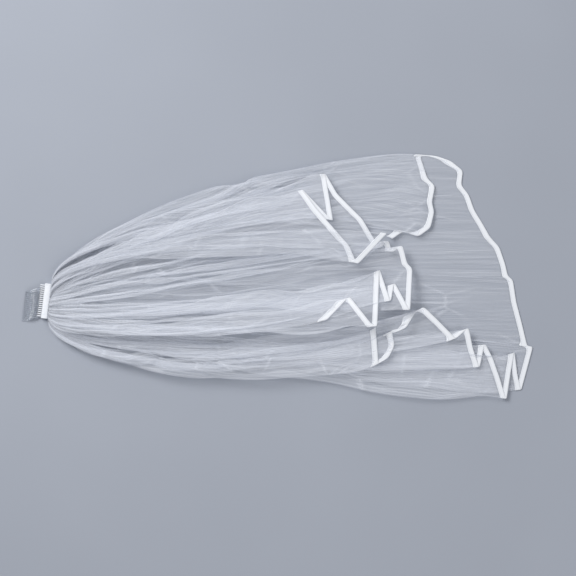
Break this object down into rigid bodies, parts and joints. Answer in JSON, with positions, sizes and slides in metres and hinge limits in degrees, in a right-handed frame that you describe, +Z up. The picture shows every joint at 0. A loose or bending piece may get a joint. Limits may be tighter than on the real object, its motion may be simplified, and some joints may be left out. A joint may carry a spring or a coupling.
{
  "type": "two-tier bridal veil",
  "caption": "Bridal veil in a long and a short tier of white tulle, gathered on a clear hair comb and laid flat with its folds fanned out, with satin ribbon along both hems.",
  "frame": {"origin": "middle of the underside of the satin band that is wrapped round the comb, on the surface that the veil lies on", "axes": "+X from the comb to the hems, +Y to the wearer's side that lies uppermost in the picture, +Z up from the surface"},
  "size_m": [0.8186, 0.3945, 0.0526],
  "materials": {
    "tulle": "sheer white net",
    "satin": "white satin, soft sheen",
    "clear_plastic": "clear and polished"
  },
  "bodies": {
    "root": {"comb": "clear_plastic", "heading_band": "satin", "long_tier": "tulle", "long_tier_ribbon": "satin", "short_tier": "tulle", "short_tier_ribbon": "satin"}
  },
  "joints": []
}
